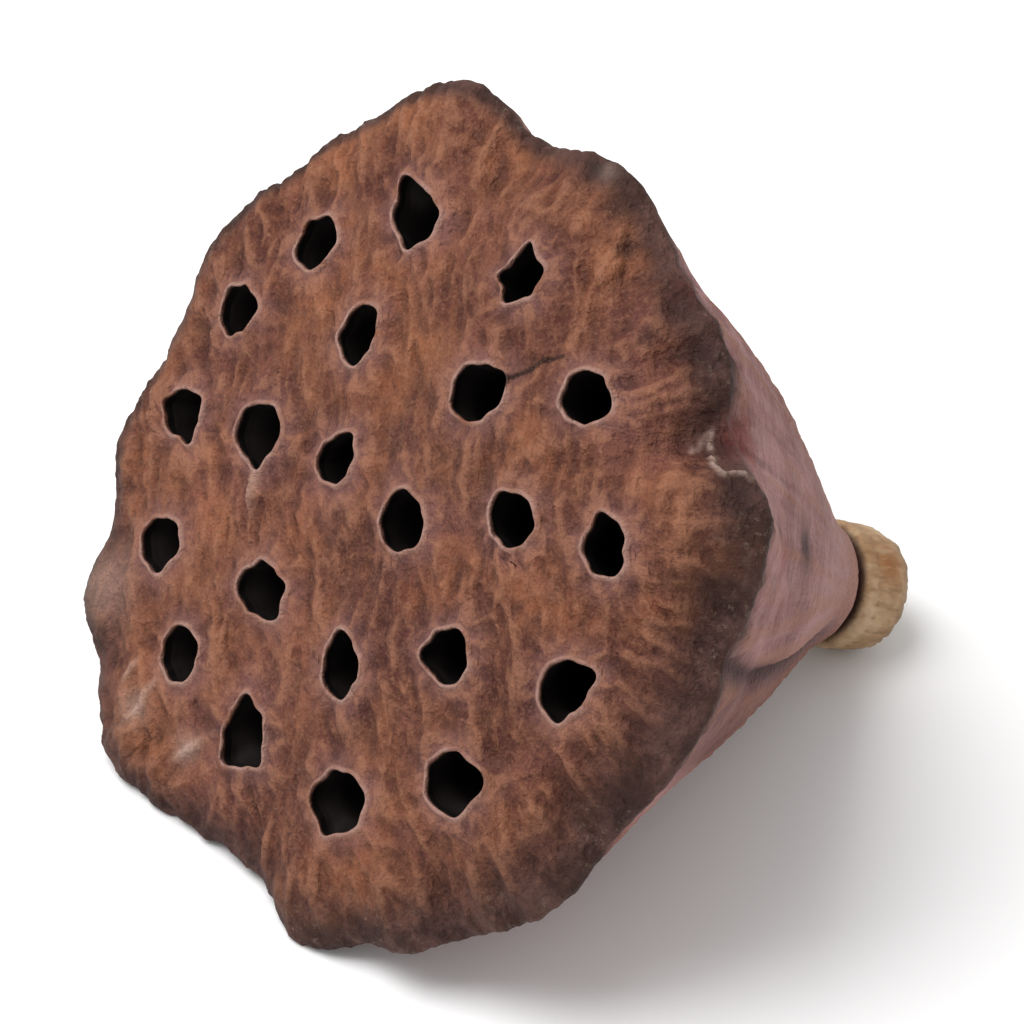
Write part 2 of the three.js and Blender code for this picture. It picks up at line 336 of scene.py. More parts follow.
# How far inside a mouth a vertex is, from 0 on the face and the crest of a lip to 1 in a chamber.
inside_of = head.verts.layers.float.new("inside")
loops = open_loops(head)
hearts = [sum((vert.co for vert in loop), Vector()) / len(loop) for loop in loops]
rings = []
openings = []
for mouth, (middle, down) in zip(MOUTHS, axes):
    nearest = min(range(len(loops)), key=lambda index: (hearts[index] - Vector(middle)).length)
    rings.append(loops[nearest])
    openings.append(Opening(mouth, middle, down, loops[nearest]))


def drawn_on(rings, place, inside):
    """Draws a ring on at every mouth. A place gives where the ring of an opening goes."""
    rings = next_rings(head, rings)
    for ring, opening in zip(rings, openings):
        put(ring, place(opening))
        for vert in ring:
            vert[inside_of] = inside
    return rings


for ring, opening in zip(rings, openings):
    put(ring, opening.at_face(COLLAR, 0))
for offset, height in LIP_RINGS:
    inside = 0 if offset > 0 else max(LIP_SHADE_FROM - height, 0)
    rings = drawn_on(rings, lambda opening: opening.at_face(offset, height), inside)
for depth in THROAT_DEPTHS:
    rings = drawn_on(rings, lambda opening: opening.throat(depth), min(THROAT_SHADE + depth, 1))
for depth, radius in CHAMBER_RINGS:
    rings = drawn_on(rings, lambda opening: opening.at_depth(depth, radius), 1)
rings = next_rings(head, rings)
for ring, opening in zip(rings, openings):
    tip = opening.middle + CHAMBER_DEPTH * opening.inward
    bmesh.ops.pointmerge(head, verts=ring, merge_co=Vector(tip))
bmesh.ops.recalc_face_normals(head, faces=head.faces)

# Drying has wrinkled the tissue: soft puffs between the mouths, fine ridges that run one way over the
# face, short puckers round the mouths, furrows where the rim is notched, creases across the rim, and ribs
# along the cone that gather at the neck. Heights and depths are in millimetres along the skin's normal.
GRAIN_TURN = math.radians(131)
GRAIN_SQUEEZE = 0.38
WARP = 1.6
WARP_SIZE = 7
PUFF_HEIGHT = 0.6
PUFF_SIZE = 5.2
WRINKLE_HEIGHT = 0.16
WRINKLED_PATCH_SIZE = 8
CRIMP_HEIGHT = 0.1
CRIMP_SIZE = 2.4
PUCKER_HEIGHT = 0.24
PUCKER_REACH = 4.5
FURROW_SHARE = 0.3
RIM_CREASE_HEIGHT = 0.7
RIB_HEIGHT = 0.26
FINE_RIB_HEIGHT = 0.1
NECK_FADE = 16
CRUMPLE_HEIGHT = 0.09
FINE_HOLLOWS = 5
BROAD_HOLLOWS = 40
# The rim is read in sectors round the axis, and a notch is where it falls short of its neighbours.
SECTORS = 120
SECTORS_AVERAGED = 7

# A crack from one mouth, a curled-up edge of the rim, raised ridges, pockets along the rim and a deep
# crease down the cone. The crack, the pockets and the crease are painted dark as shade. A line is a list of
# points, and a pocket a place and a size.
CRACK = [(1.3, 13.9), (2.4, 15.8), (3.2, 17.6), (4.9, 19.2)]
CURL = [(17, 19, -5), (17, 21, -6), (19, 19.5, -5.5), (21, 19.5, -5), (22.5, 20.5, -6.5)]
RIDGES = [
    [(-16.8, -6.2), (-15.6, -8), (-14.4, -10.2)],
    [(-15.8, -32), (-15.1, -29.5), (-14.8, -26)],
    [(-9.8, -31.5), (-8.8, -29.5), (-7.2, -27)],
    [(-18.2, -29.5), (-17.4, -26.5)],
]
POCKETS = [
    (23.5, 19.5, -5, 2), (9, 27.5, -4, 2), (12.5, 25.5, -5.5, 1.6), (-1.5, 30, -3.5, 1.4),
    (-5.5, 30.5, -3, 1.6), (9, 24.5, -2.5, 1), (1.5, 28, -3.5, 1), (26, 12, -5.5, 2.5),
]
CREASE_FROM = math.radians(14)
CREASE_TURN = math.radians(-26)
CREASE_TOP = -8
CRACK_WIDTH = 0.62
CRACK_DEPTH = 0.35
CURL_WIDTH = 0.28
CURL_HEIGHT = 0.5
RIDGE_WIDTH = 0.38
RIDGE_HEIGHT = 0.4
POCKET_DEPTH = 0.6
CREASE_WIDTH = 1.3
CREASE_DEPTH = 0.9
# Other spots of colour, each with a place and a size: dark ones on the cone, reddish and pale ones.
DARK_SPOTS = [(20.6, 15.2, -16, 0.8), (15.5, 11.5, -25, 2)]
RED_SPOTS = [(17.3, 20.3, -9.5, 2.4), (8, 29, -4.7, 1.3), (20, 13, -17, 1.5)]
PALE_SPOTS = [
    (-25, -24.5, 0, 3), (-4.5, 31.5, -3.5, 1), (-15.5, -30, 0, 1.6), (-9, -29.5, 0, 1.4),
]


CREST_LEVEL = 0.59
CREST_SHARPNESS = 2.6


def ridged(points, shift=0.0):
    """Noise with sharp ridges and soft hollows between them, and 0 on average."""
    return CREST_LEVEL - CREST_SHARPNESS * abs(grain(points, shift))


def faded(value, low, high):
    """0 below low and 1 above high, with a smooth step between."""
    share = np.clip((value - low) / (high - low), 0, 1)
    return share * share * (3 - 2 * share)


def bell(distance, width):
    """1 at no distance, falling away to 0 over about twice the width."""
    return np.exp(-((distance / width) ** 2))


def fanned(turn, fineness, along):
    """Places in a noise that repeats round the axis, so that the noise runs outwards in streaks."""
    return np.column_stack([np.cos(turn) * fineness, np.sin(turn) * fineness, along])


FAR_OFF = 99.0


def from_line(co, line):
    """How far places are from a line, and how far along it they are. A flat line is seen from above."""
    best = np.full(len(co), FAR_OFF)
    share = np.zeros(len(co))
    for number, (one, other) in enumerate(zip(line, line[1:])):
        along = np.subtract(other, one)
        apart = co[:, :len(one)] - one
        step = np.clip(apart @ along / (along @ along), 0, 1)
        away = np.linalg.norm(apart - step[:, None] * along, axis=1)
        share = np.where(away < best, (number + step) / (len(line) - 1), share)
        best = np.minimum(best, away)
    return best, share


def spotted(co, spots):
    """1 in the middle of round spots, each with a place and a size, and 0 away from them."""
    return np.max([bell(np.linalg.norm(co - spot[:3], axis=1), spot[3]) for spot in spots], axis=0)


def hollows(shape, times):
    """How far each vertex lies below the average of those round it, taken several times over."""
    shape.verts.index_update()
    shape.normal_update()
    pairs = np.array([[vert.index for vert in edge.verts] for edge in shape.edges])
    ends = np.concatenate([pairs[:, 0], pairs[:, 1]])
    others = np.concatenate([pairs[:, 1], pairs[:, 0]])
    ties = np.bincount(ends)
    co = places(shape)
    facing = np.array([vert.normal for vert in shape.verts])
    soft = co
    for _ in range(times):
        sums = [np.bincount(ends, weights=soft[others, axis]) for axis in range(3)]
        soft = np.column_stack(sums) / ties[:, None]
    return ((soft - co) * facing).sum(axis=1)


# Where each vertex is: its turn round the axis, how far it is from the edge of the rim and on which side.
head.normal_update()
co = places(head)
facing = np.array([vert.normal for vert in head.verts])
inside = np.array([vert[inside_of] for vert in head.verts])
turn = np.arctan2(co[:, 1], co[:, 0])
out = np.hypot(co[:, 0], co[:, 1])
sector = (turn % (2 * math.pi) / (2 * math.pi) * SECTORS).astype(int) % SECTORS
edge_reach = np.array([out[sector == one].max() for one in range(SECTORS)])
edge_height = np.array([co[sector == one][out[sector == one].argmax(), 2] for one in range(SECTORS)])
usual_reach = rolled_mean(edge_reach, SECTORS_AVERAGED)
middles = (np.arange(SECTORS) + 0.5) * 2 * math.pi / SECTORS


def round_rim(values):
    """Values of the sectors of the rim, at the direction of each vertex."""
    return np.interp(turn % (2 * math.pi), middles, values, period=2 * math.pi)


inward = round_rim(edge_reach) - out
notch = round_rim(usual_reach - edge_reach)
above = co[:, 2] - round_rim(edge_height)
on_cone = (1 - faded(above, -1.5, 0.5)) * (inside == 0)
from_edge = np.where(above > 0, inward, np.hypot(inward, above))

# Puckers run out from each mouth in rays.
mouth_gap = np.full(len(co), FAR_OFF)
pucker = np.zeros(len(co))
for number, (mouth, (middle, down)) in enumerate(zip(MOUTHS, axes)):
    apart = co - middle
    way = np.arctan2(apart[:, 1], apart[:, 0])
    gap = np.hypot(apart[:, 0], apart[:, 1]) - mouth_outline(mouth, way)
    near = (gap < PUCKER_REACH) & (abs(apart[:, 2]) < PUCKER_REACH + 0.5) & (gap < mouth_gap)
    mouth_gap[near] = gap[near]
    rays = ridged(fanned(way[near], 2.2, gap[near] * 0.3), number * 3.7)
    pucker[near] = rays * faded(gap[near], 0.2, 1) * (1 - faded(gap[near], 1.4, 4))
mouth_gap[inside > 0] = 0

# The grain of the face runs one way, so its noises are drawn out along that way.
on_face = (1 - on_cone) * (inside == 0)
open_face = on_face * faded(mouth_gap, 0.3, 1.8)
warp = WARP * grain(co / WARP_SIZE, 3)
along = co[:, 0] * math.cos(GRAIN_TURN) + co[:, 1] * math.sin(GRAIN_TURN)
across = co[:, 1] * math.cos(GRAIN_TURN) - co[:, 0] * math.sin(GRAIN_TURN) + warp
flow = np.column_stack([across, along * GRAIN_SQUEEZE, co[:, 2] * 0])
puffs = 0.6 * grain(co / PUFF_SIZE) + 0.8 * grain(flow * 0.4, 5) + 0.4 * grain(flow * 0.8, 7)
wrinkles = ridged(flow * 0.8, 11) + 0.5 * ridged(flow * 1.7, 13)
crimps = ridged(co / CRIMP_SIZE + warp[:, None] * 0.3, 19)
wrinkled = 0.35 + faded(grain(co / WRINKLED_PATCH_SIZE, 83), -0.3, 0.4)

# Creases cross the rim, and ribs run down the cone.
rim_creases = ridged(fanned(turn, 9, from_edge * 0.1), 31)
rim_creases += 0.4 * grain(fanned(turn, 26, from_edge * 0.2), 37)
rim_creases *= 0.25 + 0.75 * faded(from_edge, 0.5, 3.5)
ribs = ridged(fanned(turn, 6, co[:, 2] * 0.02), 43) + 0.5 * ridged(fanned(turn, 13, co[:, 2] * 0.03), 47)
fine_ribs = grain(fanned(turn, 30, co[:, 2] * 0.08), 57)
crumple = grain(co * 0.8, 71) + 0.5 * grain(co * 1.7, 73)
near_edge = 1 - faded(from_edge, 2, 9)
neck = faded(co[:, 2], -NECK_DEPTH, -NECK_DEPTH + NECK_FADE)

# The marks that tell this pod from another. Each line wavers a little.
crack_gap, crack_share = from_line(co + grain(co / 1.2, 5)[:, None] * 0.12, CRACK)
crack = bell(crack_gap, CRACK_WIDTH) * (1 - 0.12 * crack_share) * on_face
curl_gap, curl_share = from_line(co + grain(co / 0.8, 9)[:, None] * 0.35, CURL)
curl = bell(curl_gap, CURL_WIDTH) * (0.4 + 0.6 * faded(curl_share, 0.2, 0.5))
ridge = np.zeros(len(co))
for number, line in enumerate(RIDGES):
    gap, share = from_line(co + grain(co / 1.5, number)[:, None] * 0.3, line)
    swell = np.sin(math.pi * np.clip(share, 0.06, 0.94))
    ridge = np.maximum(ridge, bell(gap, RIDGE_WIDTH) * swell * on_face)
pocket = spotted(co, POCKETS)
crease_share = np.clip((CREASE_TOP - co[:, 2]) / (NECK_DEPTH + CREASE_TOP), 0, 1)
crease_gap = out * (turn - CREASE_FROM - CREASE_TURN * crease_share)
crease = bell(crease_gap, CREASE_WIDTH) * on_cone * (1 - faded(crease_share, 0.8, 1))

relief = (
    open_face * faded(inward, 0, 3) * (PUFF_HEIGHT * puffs + CRIMP_HEIGHT * crimps)
    + open_face * WRINKLE_HEIGHT * wrinkled * wrinkles
    + on_face * PUCKER_HEIGHT * pucker
    - on_face * FURROW_SHARE * notch * (1 - faded(inward, 0.5, 9)) * faded(mouth_gap, 0.5, 3)
    + near_edge * (inside == 0) * faded(mouth_gap, 0.3, 2) * RIM_CREASE_HEIGHT * rim_creases
    + on_cone * neck * (RIB_HEIGHT * ribs + FINE_RIB_HEIGHT * fine_ribs)
    + (inside == 0) * faded(mouth_gap, 0.2, 1) * CRUMPLE_HEIGHT * crumple
    - CRACK_DEPTH * crack
    + CURL_HEIGHT * curl
    + RIDGE_HEIGHT * ridge * faded(mouth_gap, 0.1, 0.6)
    - POCKET_DEPTH * pocket * on_face
    - CREASE_DEPTH * crease
)
put(head.verts, co + facing * relief[:, None])
# Hollows and crests of the relief, which the painted shade and painted highlight of the colour follow.
fine_hollow = hollows(head, FINE_HOLLOWS)
broad_hollow = hollows(head, BROAD_HOLLOWS)


def laid(shape, name):
    """The finished piece made of a bmesh, laid down, with nothing under the floor."""
    shape.transform(laid_down)
    for vert in shape.verts:
        vert.co.z = max(vert.co.z, 0)
    for face in shape.faces:
        face.smooth = True
    mesh = bpy.data.meshes.new(name)
    shape.to_mesh(mesh)
    shape.free()
    piece = bpy.data.objects.new(name, mesh)
    bpy.context.scene.collection.objects.link(piece)
    return piece


def marked(piece, **marks):
    """Gives a piece a number for each vertex under each name, for its material to read."""
    for name, values in marks.items():
        mark = piece.data.attributes.new(name, "FLOAT", "POINT")
        mark.data.foreach_set("value", values.astype(np.float32))


seed_head = laid(head, "seed_head")
marked(
    seed_head,
    lip=bell(mouth_gap - 0.12, 0.2) * (inside < 0.05),
    halo=bell(np.maximum(mouth_gap, 0), 1.6) * (inside == 0),
    # How deep in a mouth a vertex lies; the throats and chambers are painted near-black as shade by it.
    hole=inside,
    # The dark band along the rim: partly its own colour, partly painted shade where the rim turns away.
    rim=1 - faded(from_edge, 0.6, 4 + 2.2 * np.cos(turn + math.radians(35))),
    cone=on_cone,
    # Where painted shade falls on the cone beside the deep crease.
    under=on_cone * (1 - faded(crease_gap, -2, 1)) * faded(crease_gap, -14, -8),
    depth=-co[:, 2] / NECK_DEPTH,
    # Painted shade in the hollows of the relief and a painted highlight on its crests read this mark: it is
    # high in hollows and low on crests.
    hollow=np.clip(0.5 + 1.9 * fine_hollow + 0.9 * broad_hollow, 0, 1),
    crack=crack,
    # Real dark spots on the cone, with painted shade in the rim pockets and down the deep crease.
    stain=np.clip(0.75 * pocket + 0.8 * crease + spotted(co, DARK_SPOTS) * on_cone, 0, 1),
    red=spotted(co, RED_SPOTS),
    pale=np.clip(curl * 1.4 + 0.55 * ridge + 0.4 * spotted(co, PALE_SPOTS), 0, 1),
    fan=1 - faded(from_edge, 4, 12),
)


def srgb(red, green, blue):
    """A colour as it is read off a screen, 0 to 255, as the linear colour that a shader takes."""
    parts = [value / 255 for value in (red, green, blue)]
    return (*[p / 12.92 if p <= 0.04045 else ((p + 0.055) / 1.055) ** 2.4 for p in parts], 1)


class Field:
    """A socket of a finish. An expression on fields and numbers adds its Math nodes."""

    def __init__(self, finish, socket):
        self.finish = finish
        self.socket = socket

    def worked(self, operation, *values):
        return self.finish.node("ShaderNodeMath", {"operation": operation}, dict(enumerate(values)))

    def __add__(self, other):
        return self.worked("ADD", self, other)

    def __sub__(self, other):
        return self.worked("SUBTRACT", self, other)

    def __mul__(self, other):
        return self.worked("MULTIPLY", self, other)

    def __rsub__(self, other):
        return self.worked("SUBTRACT", other, self)

    __radd__ = __add__
    __rmul__ = __mul__

    def ridges(self):
        """A noise turned to sharp ridges at 1 with hollows between them."""
        return 1 - self.worked("ABSOLUTE", self * 2 - 1) * 2.5

    def step(self, low, high):
        """0 below low and 1 above high, with a smooth step between."""
        return self.finish.node(
            "ShaderNodeMapRange", {"interpolation_type": "SMOOTHSTEP"},
            {"Value": self, "From Min": low, "From Max": high},
        )


class Finish:
    """A material with one shader, and the nodes that feed it."""

    def __init__(self, name):
        self.material = bpy.data.materials.new(name)
        self.material.use_nodes = True
        self.tree = self.material.node_tree
        self.shader = self.tree.nodes["Principled BSDF"]

    def feed(self, socket, value):
        """Links a field to a socket, or sets the socket to a number or colour."""
        if isinstance(value, Field):
            self.tree.links.new(value.socket, socket)
        else:
            socket.default_value = value

    def node(self, kind, settings=None, values=None, output=0):
        """A node of a kind: its settings are set first, and then the values or links of its sockets."""
        node = self.tree.nodes.new(kind)
        for name, value in (settings or {}).items():
            setattr(node, name, value)
        for name, value in (values or {}).items():
            self.feed(node.inputs[name], value)
        return Field(self, node.outputs[output])

    def mark(self, name):
        """The numbers that a piece's vertices hold under a name."""
        return self.node("ShaderNodeAttribute", {"attribute_name": name}, output="Fac")

    def mixed(self, share, one, other):
        """Two colours mixed by a share of the second."""
        values = {"Factor": share, 6: one, 7: other}
        return self.node("ShaderNodeMix", {"data_type": "RGBA"}, values, output=2)

    def layered(self, colour, tints):
        """A colour with tints laid over it one after another, each by its own share."""
        for share, tint in tints:
            colour = self.mixed(share, colour, tint)
        return colour

    def speckle(self, place, scale, detail, rough):
        """Soft noise about 0.5: how fine it is, in how many sizes, and how strong the finer ones are."""
        values = {"Vector": place, "Scale": scale, "Detail": detail, "Roughness": rough}
        return self.node("ShaderNodeTexNoise", None, values)

    def coated(self, colour, roughness, specular, height, distance):
        """Gives the shader its colour, gloss and relief, a height that counts for a distance in metres."""
        self.feed(self.shader.inputs["Base Color"], colour)
        self.feed(self.shader.inputs["Roughness"], roughness)
        self.feed(self.shader.inputs["Specular IOR Level"], specular)
        values = {"Height": height, "Distance": distance, "Strength": 1.0}
        self.feed(self.shader.inputs["Normal"], self.node("ShaderNodeBump", None, values))


# The skin of the head is matt, leathery tissue: brown with orange and mauve in it on the face, pink and
# pale on the cone, and dark brown with grey flecks along the rim. That dark band is partly its own colour
# and partly painted shade where the rim turns away, and the mouths are painted near-black as shade in the
# chambers.
TISSUE_DEPTH = 0.0007
TISSUE_SPECULAR = 0.18
COMB_STRETCH = 2.8

tissue = Finish("dried_tissue")
place = tissue.node("ShaderNodeTexCoord", output="Object")
standing = tissue.node(
    "ShaderNodeMapping", {"vector_type": "TEXTURE"},
    {"Vector": place, "Location": FACE_CENTRE, "Rotation": (LEAN, 0, 0)},
)
flat = tissue.node("ShaderNodeVectorMath", {"operation": "MULTIPLY"}, {0: standing, 1: (1, 1, 0)})
round_axis = tissue.node("ShaderNodeVectorMath", {"operation": "NORMALIZE"}, {0: flat})
outward = tissue.node("ShaderNodeVectorMath", {"operation": "LENGTH"}, {0: flat}, output="Value")
combed = tissue.node(
    "ShaderNodeMapping", {"vector_type": "TEXTURE"},
    {"Vector": standing, "Rotation": (0, 0, GRAIN_TURN), "Scale": (COMB_STRETCH, 1, 1)},
)


def streaked(fineness, stretch, along):
    """Noise in streaks that run out from the axis: how fine they are, and how long they are drawn."""
    lift = tissue.node("ShaderNodeCombineXYZ", None, {"Z": along * (stretch / fineness)})
    fan = tissue.node("ShaderNodeVectorMath", {"operation": "ADD"}, {0: round_axis, 1: lift})
    return tissue.speckle(fan, fineness, 3.0, 0.6)


lip, halo, hole, crack = map(tissue.mark, ["lip", "halo", "hole", "crack"])
rim, cone, under, depth = map(tissue.mark, ["rim", "cone", "under", "depth"])
hollow, stain, red, pale, fan = map(tissue.mark, ["hollow", "stain", "red", "pale", "fan"])

# Noises from the coarse to the fine, then those that are drawn out along the grain or outwards.
clouds = tissue.speckle(place, 110, 3.0, 0.6)
patches = tissue.speckle(place, 260, 4.0, 0.65)
bands = tissue.speckle(combed, 300, 4.0, 0.6)
blots = tissue.speckle(standing, 75, 4.0, 0.6)
specks = tissue.speckle(place, 1500, 3.0, 0.7)
powder = tissue.speckle(place, 4200, 2.0, 0.6)
combed_fibres = tissue.speckle(combed, 1100, 4.0, 0.65)
leather = tissue.speckle(combed, 560, 2.0, 0.5).ridges()
crinkles = tissue.speckle(place, 720, 3.0, 0.55).ridges()
rim_fibres = streaked(34, 500, outward)
fibres = combed_fibres + fan * (rim_fibres - combed_fibres)
long_fibres = streaked(22, 60, depth * 0.05)
# The face darkens to the right of the pod, partly in its own tone and partly as painted shade, and it
# darkens in its middle.
to_the_right = tissue.node("ShaderNodeSeparateXYZ", None, {0: standing}, output="X").step(-0.028, 0.03)
in_the_middle = 1 - outward.step(0.003, 0.02)

# Each tint has its share before it.
face_colour = tissue.layered(srgb(116, 70, 48), [
    (clouds.step(0.38, 0.62), srgb(83, 43, 32)),
    # Darker to the right: partly its own tone, partly painted shade.
    (to_the_right * 0.55, srgb(74, 39, 29)),
    (in_the_middle * 0.75, srgb(70, 37, 31)),
    (blots.step(0.48, 0.62) * 0.6, srgb(72, 33, 29)),
    ((1 - blots).step(0.5, 0.62) * 0.5, srgb(106, 62, 58)),
    ((1 - clouds).step(0.52, 0.66) * 0.4, srgb(146, 86, 54)),
    (bands.step(0.5, 0.68) * 0.4, srgb(136, 85, 57)),
    ((1 - bands).step(0.52, 0.72) * 0.4, srgb(70, 35, 29)),
    (patches.step(0.54, 0.7) * 0.3, srgb(123, 85, 66)),
    (fibres.step(0.5, 0.7) * 0.4, srgb(140, 92, 66)),
    ((1 - fibres).step(0.54, 0.72) * 0.5, srgb(57, 29, 23)),
    (crinkles.step(0.5, 1.0) * 0.2, srgb(144, 98, 74)),
    (halo * patches.step(0.25, 0.55) * 0.75, srgb(112, 77, 74)),
])
cone_colour = tissue.layered(srgb(167, 124, 122), [
    (clouds.step(0.4, 0.6), srgb(137, 96, 95)),
    (blots.step(0.5, 0.6) * 0.6, srgb(124, 78, 73)),
    (patches.step(0.52, 0.66) * 0.5, srgb(161, 129, 122)),
    (long_fibres.step(0.45, 0.7) * 0.2, srgb(175, 141, 133)),
    ((1 - long_fibres).step(0.5, 0.7) * 0.15, srgb(102, 67, 63)),
    (depth.step(0.5, 0.85) * 0.5, srgb(171, 137, 135)),
    # Painted shade on the cone beside the deep crease.
    (under * 0.6, srgb(94, 59, 55)),
])
rim_colour = tissue.layered(srgb(42, 26, 24), [
    (patches.step(0.42, 0.62), srgb(78, 54, 50)),
    (specks.step(0.55, 0.7) * blots.step(0.45, 0.55) * 0.5, srgb(122, 108, 95)),
])
tissue_colour = tissue.layered(face_colour, [
    (cone, cone_colour),
    # Painted shade darkens the hollows of the relief, and a painted highlight lightens its crests.
    (hollow.step(0.52, 1.0) * 0.5, srgb(54, 28, 24)),
    ((1 - hollow).step(0.55, 0.95) * 0.4, srgb(158, 108, 82)),
    # The dark band along the rim, partly its own colour and partly painted shade where the rim turns away.
    (rim * (clouds * 0.8 + patches * 0.7).step(0.2, 0.6) * 0.9, rim_colour),
    (red * (patches * 0.6 + clouds * 0.6).step(0.4, 0.7) * 0.7, srgb(134, 62, 55)),
    (pale * 0.8, srgb(170, 146, 134)),
    # Dark spots on the cone, with painted shade in the rim pockets and down the deep crease.
    (stain * 0.85, srgb(34, 20, 19)),
    # The crack is painted dark, as shade in its gap.
    (crack.step(0.7, 0.9) * 0.9, srgb(40, 22, 18)),
    ((1 - crack) * lip * patches.step(0.3, 0.6) * 0.85, srgb(160, 128, 118)),
    (specks.step(0.6, 0.75) * 0.3, srgb(60, 34, 28)),
    (powder.step(0.54, 0.72) * (1 - rim) * 0.2, srgb(166, 120, 98)),
    ((1 - powder).step(0.54, 0.72) * 0.3, srgb(50, 28, 24)),
    # Painted shade in the groove at the neck, where the head meets the stump.
    (depth.step(0.985, 1.0), srgb(48, 26, 21)),
    # Painted shade: the throats and chambers of the mouths are coloured near-black.
    (hole.step(0.02, 0.4), srgb(16, 9, 8)),
])
grained = fibres * 0.5 + leather * 0.3 + crinkles * 0.2 + bands * 0.4 + specks * 0.35 + powder * 0.12
tissue.coated(tissue_colour, 0.6 + patches * 0.25, TISSUE_SPECULAR, grained * (1 - hole), TISSUE_DEPTH)
seed_head.data.materials.append(tissue.material)
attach(seed_head, "root")
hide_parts("receptacle")

# The stump is the cut-off top of the stalk, a pithy stem that the cone narrows down to. It is paler than
# the head, with the ring-shaped scars of the petals and stamens round it and a dried, rounded cut end.
STUMP_CELL = 0.2
STUMP_SMOOTHING = 60
STUMP_HOLLOWS = 6
STUMP_RADIUS = 5.5
DOME_HEIGHT = 0.7
SWELL_HEIGHT = 0.18
SCAR_RING_HEIGHT = 0.1
SCAR_RING_AT = 1.1
SCAR_DIP_AT = 2.3
SCAR_HEIGHT = 0.07
STEM_HEIGHT = 0.05
CUT_FROM = 4.4
CUT_TO = 5.6
CUT_ROUGHNESS = 0.14
GROOVE_REACH = 0.8
BARE_PATCH = (3, 4.3, -50.8)
BARE_REACH = 1.7
STALK_DEPTH = 0.0004
STALK_SPECULAR = 0.3
STEM_STRETCH = 5

stump = skinned(stood_up("stalk_stump"), STUMP_CELL)
smoothed(stump, stump.verts, STUMP_SMOOTHING)
stump.normal_update()
co = places(stump)
facing = np.array([vert.normal for vert in stump.verts])
turn = np.arctan2(co[:, 1], co[:, 0])
down = -co[:, 2] - NECK_DEPTH
swell = grain(fanned(turn, 1.4, down * 0.3), 3)
scars = ridged(fanned(turn, 7, down * 0.35), 9)
stems = grain(fanned(turn, 12, down * 0.25), 5)
ring = bell(down - SCAR_RING_AT - 0.3 * swell, 0.5) - 0.8 * bell(down - SCAR_DIP_AT - 0.4 * swell, 0.35)
cut_end = faded(down, CUT_FROM, CUT_TO)
middling = 1 - np.clip(np.hypot(co[:, 0], co[:, 1]) / STUMP_RADIUS, 0, 1) ** 2
relief = (
    DOME_HEIGHT * (faded(-facing[:, 2], 0.2, 0.8) * middling)
    + SWELL_HEIGHT * swell
    + SCAR_RING_HEIGHT * ring
    + SCAR_HEIGHT * scars
    + STEM_HEIGHT * stems
    + cut_end * CUT_ROUGHNESS * grain(co * 1.6, 17)
)
put(stump.verts, co + facing * relief[:, None])
# Hollows of the stump's relief, which painted shade follows.
stump_hollow = hollows(stump, STUMP_HOLLOWS)

stalk_end = laid(stump, "stalk_end")
marked(
    stalk_end,
    hollow=np.clip(0.5 + 5 * stump_hollow, 0, 1),
    # Where painted shade goes in the groove against the head.
    groove=1 - faded(down, GROOVE_REACH * 0.5, GROOVE_REACH),
    bare=bell(np.linalg.norm((co - BARE_PATCH) * (0.8, 0.8, 1), axis=1), BARE_REACH),
    cut=cut_end,
)

stalk = Finish("dried_stalk")
place = stalk.node("ShaderNodeTexCoord", output="Object")
values = {"Vector": place, "Location": FACE_CENTRE, "Rotation": (LEAN, 0, 0), "Scale": (1, 1, STEM_STRETCH)}
standing = stalk.node("ShaderNodeMapping", {"vector_type": "TEXTURE"}, values)
clouds = stalk.speckle(place, 260, 3.0, 0.6)
stems = stalk.speckle(standing, 1300, 3.0, 0.6)
specks = stalk.speckle(place, 1400, 3.0, 0.7)
stalk_colour = stalk.layered(srgb(186, 156, 122), [
    (clouds.step(0.38, 0.62), srgb(160, 127, 93)),
    (stalk.mark("bare") * clouds.step(0.3, 0.5) * 0.85, srgb(139, 87, 46)),
    (stems.step(0.5, 0.7) * 0.4, srgb(194, 169, 137)),
    ((1 - stems).step(0.5, 0.7) * 0.45, srgb(118, 87, 57)),
    (stalk.mark("cut") * 0.5, srgb(135, 116, 97)),
    # Painted shade in the hollows of the stump's relief.
    (stalk.mark("hollow").step(0.5, 0.95) * 0.6, srgb(99, 72, 48)),
    (specks.step(0.55, 0.75) * 0.3, srgb(124, 99, 66)),
    # Painted shade in the groove where the stump meets the head.
    (stalk.mark("groove"), srgb(55, 27, 21)),
])
stalk_grained = stems * 0.5 + clouds * 0.3 + specks * 0.3
stalk.coated(stalk_colour, 0.65 + clouds * 0.2, STALK_SPECULAR, stalk_grained, STALK_DEPTH)
stalk_end.data.materials.append(stalk.material)
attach(stalk_end, "root")
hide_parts("stalk_stump")

# The pod lies on a sheet of plain pale paper, in soft light that comes from all sides of a white studio.
FLOOR_REACH = 3
PAPER_WHITE = (0.9, 0.9, 0.9, 1)
PAPER_ROUGHNESS = 0.9
STUDIO_WHITE = (1, 1, 1, 1)
STUDIO_STRENGTH = 0.66

ground = bmesh.new()
bmesh.ops.create_grid(ground, x_segments=1, y_segments=1, size=FLOOR_REACH)
floor_mesh = bpy.data.meshes.new("floor")
ground.to_mesh(floor_mesh)
ground.free()
floor = bpy.data.objects.new("floor", floor_mesh)
bpy.context.scene.collection.objects.link(floor)
paper = Finish("floor_paper")
paper.shader.inputs["Base Color"].default_value = PAPER_WHITE
paper.shader.inputs["Roughness"].default_value = PAPER_ROUGHNESS
paper.shader.inputs["Specular IOR Level"].default_value = 0
floor_mesh.materials.append(paper.material)

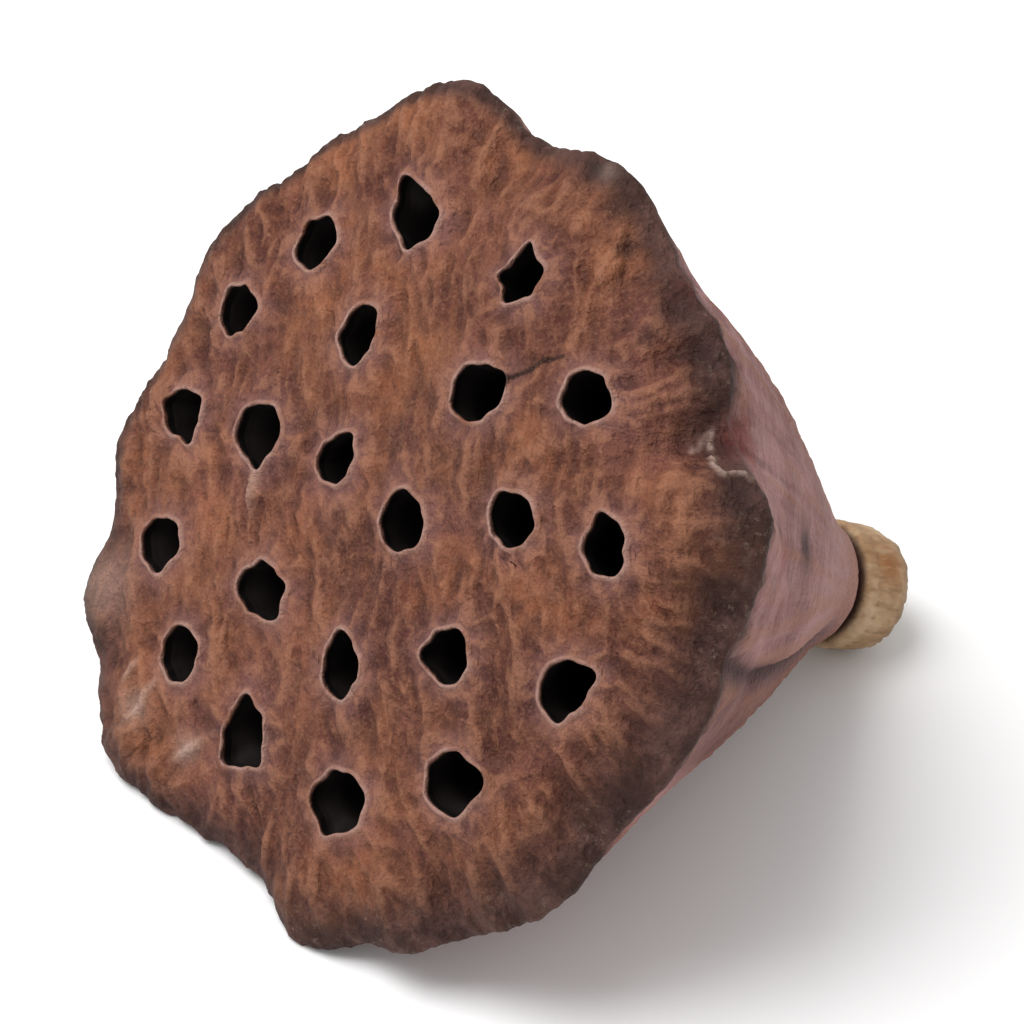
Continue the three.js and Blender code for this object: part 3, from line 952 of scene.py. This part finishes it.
world = bpy.data.worlds.new("studio")
bpy.context.scene.world = world
world.use_nodes = True
world.node_tree.nodes["Background"].inputs["Color"].default_value = STUDIO_WHITE
world.node_tree.nodes["Background"].inputs["Strength"].default_value = STUDIO_STRENGTH

# The camera looks at the pod from the right of its face and from above, as the photograph does, through a
# long lens and with a small roll.
AZIMUTH = math.radians(54.55)
ELEVATION = math.radians(41.41)
ROLL = math.radians(3.49)
CAMERA_AWAY = 2
CAMERA_REACH = 50
FRAME_WIDTH = 0.0825
SENSOR_WIDTH = 36
AIM_RIGHT = 0.00754
AIM_UP = 0.0003

level_right = Vector((math.cos(AZIMUTH), math.sin(AZIMUTH), 0))
level_back = Vector((math.sin(AZIMUTH), -math.cos(AZIMUTH), 0))
back = level_back * math.cos(ELEVATION) + Vector((0, 0, math.sin(ELEVATION)))
steep_up = back.cross(level_right)
right = level_right * math.cos(ROLL) + steep_up * math.sin(ROLL)
up = steep_up * math.cos(ROLL) - level_right * math.sin(ROLL)
aim = FACE_CENTRE + AIM_RIGHT * right + AIM_UP * up

lens = bpy.data.cameras.new("camera")
lens.sensor_width = SENSOR_WIDTH
lens.lens = SENSOR_WIDTH * CAMERA_AWAY / FRAME_WIDTH
lens.clip_end = CAMERA_REACH
camera = bpy.data.objects.new("camera", lens)
bpy.context.scene.collection.objects.link(camera)
facing_pod = Matrix((right, up, back)).transposed().to_4x4()
camera.matrix_world = Matrix.Translation(aim + CAMERA_AWAY * back) @ facing_pod
bpy.context.scene.camera = camera
bpy.context.scene.view_settings.view_transform = "Standard"

# The key light is a broad lamp above and to the left of the camera.
KEY_POWER = 9
KEY_SIZE = 0.7
KEY_AWAY = 0.9

key = bpy.data.lights.new("key", "AREA")
key.energy = KEY_POWER
key.size = KEY_SIZE
key_light = bpy.data.objects.new("key", key)
bpy.context.scene.collection.objects.link(key_light)
key_from = FACE_CENTRE + KEY_AWAY * (back * 0.8 - right * 0.5 + up * 0.85).normalized()
towards_pod = (key_from - FACE_CENTRE).to_track_quat("Z", "Y").to_matrix().to_4x4()
key_light.matrix_world = Matrix.Translation(key_from) @ towards_pod
